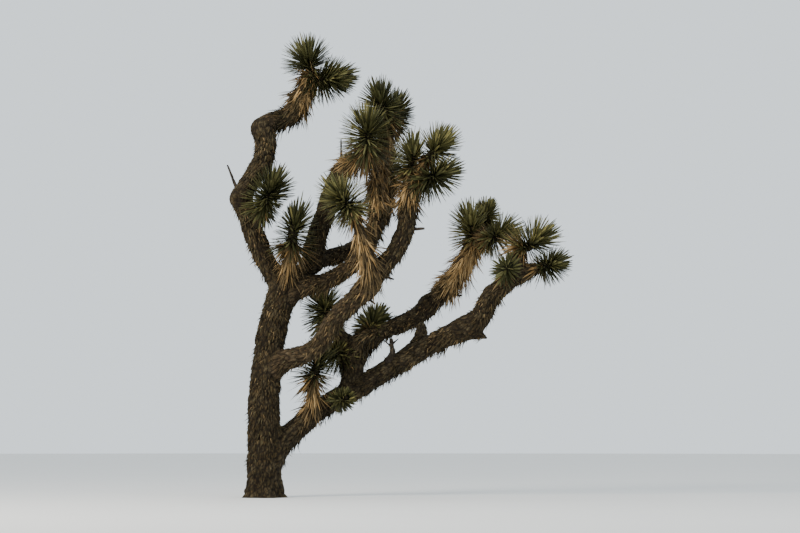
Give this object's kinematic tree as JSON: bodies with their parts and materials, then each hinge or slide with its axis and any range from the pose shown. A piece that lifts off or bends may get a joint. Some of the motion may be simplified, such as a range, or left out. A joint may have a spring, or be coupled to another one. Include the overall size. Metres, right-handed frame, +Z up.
{
  "type": "joshua tree",
  "caption": "Joshua tree with a leaning trunk, a second low stem, bare kinked boughs and spiky rosettes of dagger leaves at their tips.",
  "frame": {"origin": "middle of the flat cut under the trunk, at ground level", "axes": "+Z up, +X to the right as the picture sees the tree, +Y away from the viewer"},
  "size_m": [5.1515, 2.9973, 6.9811],
  "materials": {
    "bark": "rough corky plates with old dead leaves",
    "leaves": "stiff, matt to waxy, olive with tan dead leaves"
  },
  "bodies": {
    "root": {"trunk": "bark", "leader_foot": "bark", "leader_waist": "bark", "leader_neck": "bark", "fork_spur": "bark", "back_bough": "bark", "back_riser": "bark", "back_limb": "bark", "front_bough": "bark", "middle_limb": "bark", "right_bough": "bark", "east_limb": "bark", "skirt_limb": "bark", "low_stem": "bark", "low_limb": "bark", "far_limb": "bark", "arch_spur": "bark", "riser": "bark", "mid_bough": "bark", "tall_limb": "bark", "back_spur": "bark", "side_spur": "bark", "left_spur": "bark", "skirt_spur": "bark", "east_spur": "bark", "cross_stub": "bark", "dead_stub": "bark", "crown_rosette": "leaves", "crown_side": "leaves", "elbow_rosette": "leaves", "fork_rosette": "leaves", "bow_rosette": "leaves", "top_rosette": "leaves", "top_side": "leaves", "shade_rosette": "leaves", "east_rosette": "leaves", "east_high": "leaves", "east_side": "leaves", "skirt_rosette": "leaves", "tall_rosette": "leaves", "tall_back": "leaves", "tall_side": "leaves", "arch_rosette": "leaves", "far_rosette": "leaves", "far_front": "leaves", "left_rosette": "leaves", "nest_rosette": "leaves", "low_rosette": "leaves", "shade_low": "leaves", "stem_rosette": "leaves"}
  },
  "joints": []
}
